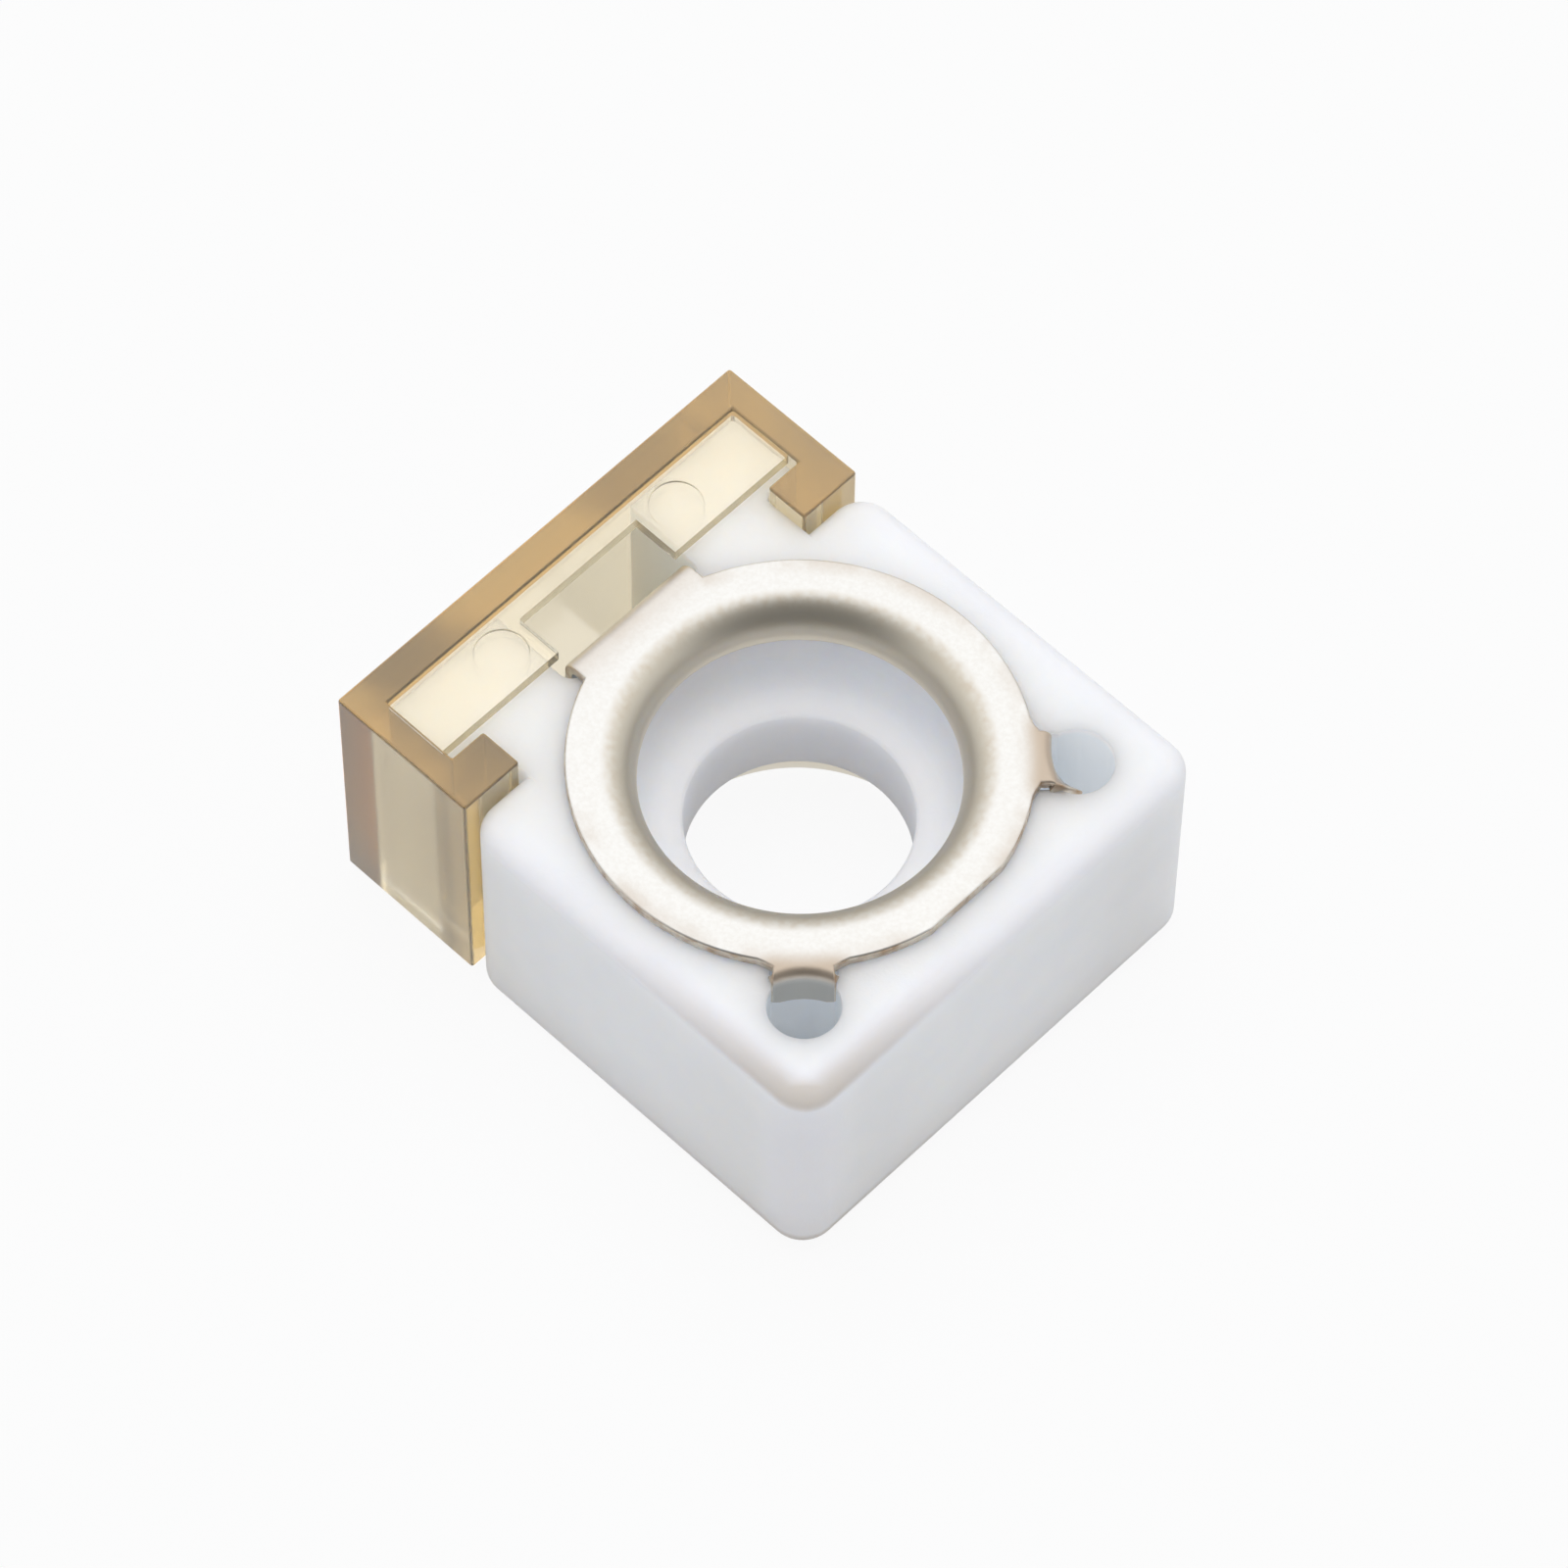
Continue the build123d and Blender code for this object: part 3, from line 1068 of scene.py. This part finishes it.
drift = add(
    tree, "ShaderNodeTexNoise", {"Vector": place, "Scale": 1 / (DRIFT_SIZE * MM), "Detail": 3}
)
white = add(tree, "ShaderNodeValToRGB", {0: drift.outputs["Fac"]}, stops=STEATITE_WHITES)
tone = white.outputs["Color"]
for share, colour in ((edge_shade, EDGE_SHADE_COLOUR), (in_recess, RECESS_SHADE_COLOUR)):
    tone = add(
        tree, "ShaderNodeMix", {0: share, 6: tone, 7: linear(colour)}, data_type="RGBA"
    ).outputs[2]
way = add(
    tree,
    "ShaderNodeMapRange",
    {"Value": in_recess, "To Min": LIGHT_WAY * MM, "To Max": RECESS_LIGHT_WAY * MM},
)
grain = add(
    tree, "ShaderNodeTexNoise", {"Vector": place, "Scale": 1 / (STEATITE_GRAIN * MM), "Detail": 2}
)
bump = add(
    tree,
    "ShaderNodeBump",
    {"Height": grain.outputs["Fac"], "Strength": 0.25, "Distance": 0.02 * MM},
)
body = add(
    tree,
    "ShaderNodeBsdfPrincipled",
    {
        "Base Color": tone,
        "Roughness": 0.55,
        "IOR": 1.55,
        "Subsurface Weight": 1,
        "Subsurface Radius": RED_GREEN_BLUE_WAYS,
        "Subsurface Scale": way.outputs[0],
        "Normal": bump.outputs[0],
    },
)
add(tree, "ShaderNodeOutputMaterial", {"Surface": body.outputs[0]})
ceramic.data.materials.append(steatite)
print(steatite.name, "has", len(tree.nodes), "nodes")

# %% [markdown]
# The strip is copper alloy with a few thousandths of a millimetre of tin. Where a tab was bent, the
# tin was stretched and rubbed, and the copper blushes through it; that tan is also painted shade
# where the bend curves away. A little of the same tan lies at the strap's bend, and warm tan
# patches of about 2 mm lie along the ring's rim. Down a tab's leg, inside the keyhole, a darker
# grey is painted as shade. All of this follows from the place on the part. Two finishes need it, so
# it is made by functions, and the first one takes the measures. The four tabs are folded onto one
# of them, so that one distance serves all.

# %% Measures on the strip
TAB_ROOT = TAB_REACH * math.sin(math.radians(LOCK_ANGLE))


def measure(tree):
    """The place, x, |z|, the reach from the stud's axis and the distance to the nearest tab."""
    place = add(tree, "ShaderNodeTexCoord").outputs["Object"]
    flat = add(tree, "ShaderNodeVectorMath", {0: place, 1: (1, 1, 0)}, operation="MULTIPLY")
    reach = add(tree, "ShaderNodeVectorMath", {0: flat.outputs[0]}, operation="LENGTH")
    parts = add(tree, "ShaderNodeSeparateXYZ", {0: place}).outputs
    y, z = [
        add(tree, "ShaderNodeMath", {0: parts[axis]}, operation="ABSOLUTE").outputs[0]
        for axis in ("Y", "Z")
    ]
    folded = add(tree, "ShaderNodeCombineXYZ", {0: parts["X"], 1: y, 2: z})
    from_tab = add(
        tree,
        "ShaderNodeVectorMath",
        {0: folded.outputs[0], 1: (TAB_ROOT * MM, TAB_ROOT * MM, CONTACT_TOP * MM)},
        operation="DISTANCE",
    )
    return place, parts["X"], z, reach.outputs["Value"], from_tab.outputs["Value"]


print("tabs bend at", round(TAB_ROOT, 2), "mm to the front and to either side")

# %% [markdown]
# The second function turns the measures into shares. A row of its list says what is measured, the
# pair of places where the share begins and where it is full, and how much it is at most. The
# patches are slow noise.

# %% Where the tin is worn and shade is painted
NEAR_TAB = (2.4, 1.1)
PAST_RIM = (RING_RADIUS - 0.7, TAB_REACH - 0.2)
ON_TOP = (CONTACT_TOP - 0.7, CONTACT_TOP - 0.1)
AT_STRAP = (1.4 - RING_RADIUS, 0.2 - STRAP_REACH)
AT_RIM = (RING_RADIUS - 0.9, RING_RADIUS)
STRAP_TAN_MOST = 0.45
PATCH_SIZE = 2.5
PATCH_NOISE = (0.42, 0.62)
PATCH_MOST = 0.5


def wear_and_shade(tree, place, x, z, reach, from_tab):
    """Two shares: worn tin with painted shade at its bends, and how far down a tab's leg a place
    is.
    """
    near_tab, past_rim, on_top, at_strap, at_rim = [
        add(
            tree,
            "ShaderNodeMapRange",
            {"Value": value, "From Min": begins * MM, "From Max": full * MM, "To Max": most},
            interpolation_type="SMOOTHSTEP",
        ).outputs[0]
        for value, (begins, full), most in (
            (from_tab, NEAR_TAB, 1),
            (reach, PAST_RIM, 1),
            (z, ON_TOP, 1),
            (x, AT_STRAP, STRAP_TAN_MOST),
            (reach, AT_RIM, 1),
        )
    ]
    patches = add(
        tree, "ShaderNodeTexNoise", {"Vector": place, "Scale": 1 / (PATCH_SIZE * MM), "Detail": 3}
    )
    patches = add(
        tree,
        "ShaderNodeMapRange",
        {
            "Value": patches.outputs["Fac"],
            "From Min": PATCH_NOISE[0],
            "From Max": PATCH_NOISE[1],
            "To Max": PATCH_MOST,
        },
    )
    rim_patches = add(tree, "ShaderNodeMath", {0: at_rim, 1: patches.outputs[0]}, operation="MULTIPLY")
    worn_and_shaded = near_tab
    for share, operation in (
        (past_rim, "MULTIPLY"),
        (at_strap, "MAXIMUM"),
        (rim_patches.outputs[0], "MAXIMUM"),
        (on_top, "MULTIPLY"),
    ):
        worn_and_shaded = add(tree, "ShaderNodeMath", {0: worn_and_shaded, 1: share}, operation=operation).outputs[0]
    on_leg = add(
        tree, "ShaderNodeMath", {0: past_rim, 1: on_top}, operation="SUBTRACT", use_clamp=True
    )
    return worn_and_shaded, on_leg.outputs[0]


print("tin worn within", NEAR_TAB[0], "mm of a tab's bend")

# %% [markdown]
# Tin is a warm pale metal, and a matt bath leaves it satin, with a fine rolling grain, drawn
# coarser here than it is, so that it shows. The die left the rolled lip a little warmer and duller
# than the flat ring, with small specks where the roll begins, and the lip is painted darker as
# well, as the shade of the roll where it curves away. The pairs are in millimetres from the place
# where the flat ends and the roll begins. One colour lies over the other in the order of the list.

# %% Tin plate
LIP_SHADE_AND_DULL = (0, 0.8)
SPECKS_BEGIN = (0, 0.4)
SPECKS_END = (0.5, 1.0)
ROLLING_GRAIN = 0.15
SPECK_SIZE = 0.3
SPECK_NOISE = (0.35, 0.75)
SPECK_MOST = 0.6
TIN_TONES = [(0.35, linear("edebe7")), (0.65, linear("f2f1ee"))]
# A warmer tint of the lip, darkened as painted shade of the roll.
LIP_TINT_AND_SHADE = "d9d2c3"
SCUFFED_TIN = "cdbea8"
# Copper blush at the bends, also painted shade where they curve away, and warm tan patches on the
# rim.
WORN_AND_SHADED_TIN = "d2c2b0"
# Painted shade on a tab's leg, down in its keyhole.
LEG_SHADE_TIN = "c0beb8"

place, x, z, reach, from_tab = measure(tin_tree)
worn_and_shaded, on_leg = wear_and_shade(tin_tree, place, x, z, reach, from_tab)
in_lip, specks_on, specks_off = [
    add(
        tin_tree,
        "ShaderNodeMapRange",
        {
            "Value": reach,
            "From Min": (flat_start - begins) * MM,
            "From Max": (flat_start - full) * MM,
        },
        interpolation_type="SMOOTHSTEP",
    ).outputs[0]
    for begins, full in (LIP_SHADE_AND_DULL, SPECKS_BEGIN, SPECKS_END)
]
grain, speck = [
    add(
        tin_tree,
        "ShaderNodeTexNoise",
        {"Vector": place, "Scale": 1 / (size * MM), "Detail": detail},
    ).outputs["Fac"]
    for size, detail in ((ROLLING_GRAIN, 3), (SPECK_SIZE, 6))
]
speck = add(
    tin_tree,
    "ShaderNodeMapRange",
    {
        "Value": speck,
        "From Min": SPECK_NOISE[0],
        "From Max": SPECK_NOISE[1],
        "To Max": SPECK_MOST,
    },
)
scuffed = add(
    tin_tree,
    "ShaderNodeMath",
    {0: specks_on, 1: specks_off},
    operation="SUBTRACT",
    use_clamp=True,
)
scuffed = add(
    tin_tree,
    "ShaderNodeMath",
    {0: scuffed.outputs[0], 1: speck.outputs[0]},
    operation="MULTIPLY",
).outputs[0]
tone = add(tin_tree, "ShaderNodeValToRGB", {0: grain}, stops=TIN_TONES).outputs["Color"]
for share, colour in (
    (in_lip, LIP_TINT_AND_SHADE),
    (scuffed, SCUFFED_TIN),
    (worn_and_shaded, WORN_AND_SHADED_TIN),
    (on_leg, LEG_SHADE_TIN),
):
    tone = add(
        tin_tree, "ShaderNodeMix", {0: share, 6: tone, 7: linear(colour)}, data_type="RGBA"
    ).outputs[2]
print(tin.name, "takes its colour from", len(tin_tree.nodes), "nodes")

# %% [markdown]
# The same shares roughen the tin: a little in the lip, and a little more in the share of worn tin
# and painted shade. The grain is a shallow bump of a hundredth of a millimetre.

# %% Satin of the tin
FLAT_SATIN = 0.3
LIP_SATIN = 0.4
WORN_SATIN = 0.15

satin = add(
    tin_tree,
    "ShaderNodeMapRange",
    {"Value": in_lip, "To Min": FLAT_SATIN, "To Max": LIP_SATIN},
)
satin = add(
    tin_tree,
    "ShaderNodeMath",
    {0: worn_and_shaded, 1: WORN_SATIN, 2: satin.outputs[0]},
    operation="MULTIPLY_ADD",
)
bump = add(
    tin_tree, "ShaderNodeBump", {"Height": grain, "Strength": 0.3, "Distance": 0.01 * MM}
)
metal = add(
    tin_tree,
    "ShaderNodeBsdfPrincipled",
    {
        "Base Color": tone,
        "Metallic": 1,
        "Roughness": satin.outputs[0],
        "Normal": bump.outputs[0],
    },
)
add(tin_tree, "ShaderNodeOutputMaterial", {"Surface": metal.outputs[0]})
print(tin.name, "has", len(tin_tree.nodes), "nodes")

# %% [markdown]
# A punch drags the tin a little way over the edge that it shears. So the edge is pale where the tin
# was dragged and tan to brown where the copper is bare, in streaks half a millimetre wide. Where
# the share of worn tin and painted shade is high, a little more of the copper shows.

# %% Sheared edge
STREAK_SIZE = 0.5
MORE_COPPER = 0.12
EDGE_TONES = [(0.45, linear("dcd4c7")), (0.78, linear("b09478"))]

place, x, z, reach, from_tab = measure(bare_tree)
worn_and_shaded, _ = wear_and_shade(bare_tree, place, x, z, reach, from_tab)
streak = add(
    bare_tree, "ShaderNodeTexNoise", {"Vector": place, "Scale": 1 / (STREAK_SIZE * MM), "Detail": 4}
)
copper = add(
    bare_tree,
    "ShaderNodeMath",
    {0: worn_and_shaded, 1: MORE_COPPER, 2: streak.outputs["Fac"]},
    operation="MULTIPLY_ADD",
)
tone = add(bare_tree, "ShaderNodeValToRGB", {0: copper.outputs[0]}, stops=EDGE_TONES)
metal = add(
    bare_tree,
    "ShaderNodeBsdfPrincipled",
    {"Base Color": tone.outputs["Color"], "Metallic": 1, "Roughness": 0.4},
)
add(bare_tree, "ShaderNodeOutputMaterial", {"Surface": metal.outputs[0]})
print(bare.name, "has", len(bare_tree.nodes), "nodes")

# %% [markdown]
# The cover is polysulfone, a clear plastic that is amber by nature and survives the heat of the
# arc. Soft grey bands of painted shade, about 11 mm apart, lie on the walls, strongest near one
# end. They are the crests of a cosine that runs along the part, moved to and fro a little by slow
# noise. They are painted only on the walls' upper edge, which stands over the web, and a thin even
# painted shade of the same grey lies between them.

# %% Painted shade on the cover's rim
SHADE_BAND_SPACING = 11.4
SHADE_BAND_START = -6.9
SHADE_BAND_CREST_FROM = -0.6
SHADE_BAND_FADE = (-7, 30)
SHADE_BAND_SHARE = 0.75
EVEN_SHADE_SHARE = 0.25
SWAY_SIZE = 3
SWAY = 2
OVER_WEB = 0.02

amber, tree = new_material("clear_polysulfone")
place = add(tree, "ShaderNodeTexCoord").outputs["Object"]
parts = add(tree, "ShaderNodeSeparateXYZ", {0: place}).outputs
sway = add(
    tree, "ShaderNodeTexNoise", {"Vector": place, "Scale": 1 / (SWAY_SIZE * MM), "Detail": 1}
)
phase = add(
    tree,
    "ShaderNodeMath",
    {
        0: sway.outputs["Fac"],
        1: SWAY,
        2: -math.tau * SHADE_BAND_START / SHADE_BAND_SPACING - SWAY / 2,
    },
    operation="MULTIPLY_ADD",
)
along = add(
    tree,
    "ShaderNodeMath",
    {0: parts["Y"], 1: math.tau / (SHADE_BAND_SPACING * MM), 2: phase.outputs[0]},
    operation="MULTIPLY_ADD",
)
wave = add(tree, "ShaderNodeMath", {0: along.outputs[0]}, operation="COSINE")
shade_band = add(
    tree,
    "ShaderNodeMapRange",
    {"Value": wave.outputs[0], "From Min": SHADE_BAND_CREST_FROM},
    interpolation_type="SMOOTHSTEP",
)
fade = add(
    tree,
    "ShaderNodeMapRange",
    {
        "Value": parts["Y"],
        "From Min": SHADE_BAND_FADE[0] * MM,
        "From Max": SHADE_BAND_FADE[1] * MM,
        "To Min": 1,
        "To Max": 0,
    },
)
on_rim = add(
    tree,
    "ShaderNodeMapRange",
    {"Value": parts["Z"], "From Min": (WEB_TOP + OVER_WEB) * MM, "From Max": COVER_TOP * MM},
)
share = add(tree, "ShaderNodeMath", {0: shade_band.outputs[0], 1: fade.outputs[0]}, operation="MULTIPLY")
share = add(
    tree,
    "ShaderNodeMath",
    {0: share.outputs[0], 1: SHADE_BAND_SHARE, 2: EVEN_SHADE_SHARE},
    operation="MULTIPLY_ADD",
)
rim_shade = add(
    tree, "ShaderNodeMath", {0: share.outputs[0], 1: on_rim.outputs[0]}, operation="MULTIPLY"
)
# The bands are painted shade on the rim.
print("swirls every", SHADE_BAND_SPACING, "mm from", len(tree.nodes), "nodes")

# %% [markdown]
# Polysulfone bends light strongly for a plastic, with an IOR of 1.63. It lets nearly all light in
# and scatters the rest. Its colour comes from the depth of plastic that the light crosses, so the
# thin web is nearly colourless and the walls, seen down their length, are honey. The mould slid
# along the outer faces of the end walls as it opened, and left them a little more matt.

# %% Clear polysulfone
CLEAR_COLOUR = "fffcf5"
# Grey-blue painted shade on the walls' upper edge.
RIM_SHADE_COLOUR = "8a95bd"
DEPTH_COLOUR = "f2de90"
DEPTH_DENSITY = 265
SLID_FACE = (-0.1, -0.01)
MOULDED_ROUGHNESS = 0.13
SLID_ROUGHNESS = 0.3

tint = add(
    tree,
    "ShaderNodeMix",
    {0: rim_shade.outputs[0], 6: linear(CLEAR_COLOUR), 7: linear(RIM_SHADE_COLOUR)},
    data_type="RGBA",
)
outward = add(tree, "ShaderNodeMath", {0: parts["Y"]}, operation="ABSOLUTE")
roughness = add(
    tree,
    "ShaderNodeMapRange",
    {
        "Value": outward.outputs[0],
        "From Min": (COVER_HALF + SLID_FACE[0]) * MM,
        "From Max": (COVER_HALF + SLID_FACE[1]) * MM,
        "To Min": MOULDED_ROUGHNESS,
        "To Max": SLID_ROUGHNESS,
    },
)
clear = add(
    tree,
    "ShaderNodeBsdfPrincipled",
    {
        "Base Color": tint.outputs[2],
        "Roughness": roughness.outputs[0],
        "IOR": 1.63,
        "Transmission Weight": 0.93,
    },
)
depth = add(
    tree, "ShaderNodeVolumeAbsorption", {"Color": linear(DEPTH_COLOUR), "Density": DEPTH_DENSITY}
)
add(tree, "ShaderNodeOutputMaterial", {"Surface": clear.outputs[0], "Volume": depth.outputs[0]})
cover.data.materials.append(amber)
print(amber.name, "has", len(tree.nodes), "nodes")

# %% [markdown]
# ## Picture
# The Standard view keeps the colours as they are written.

# %% The view transform
bpy.context.scene.view_settings.view_transform = "Standard"
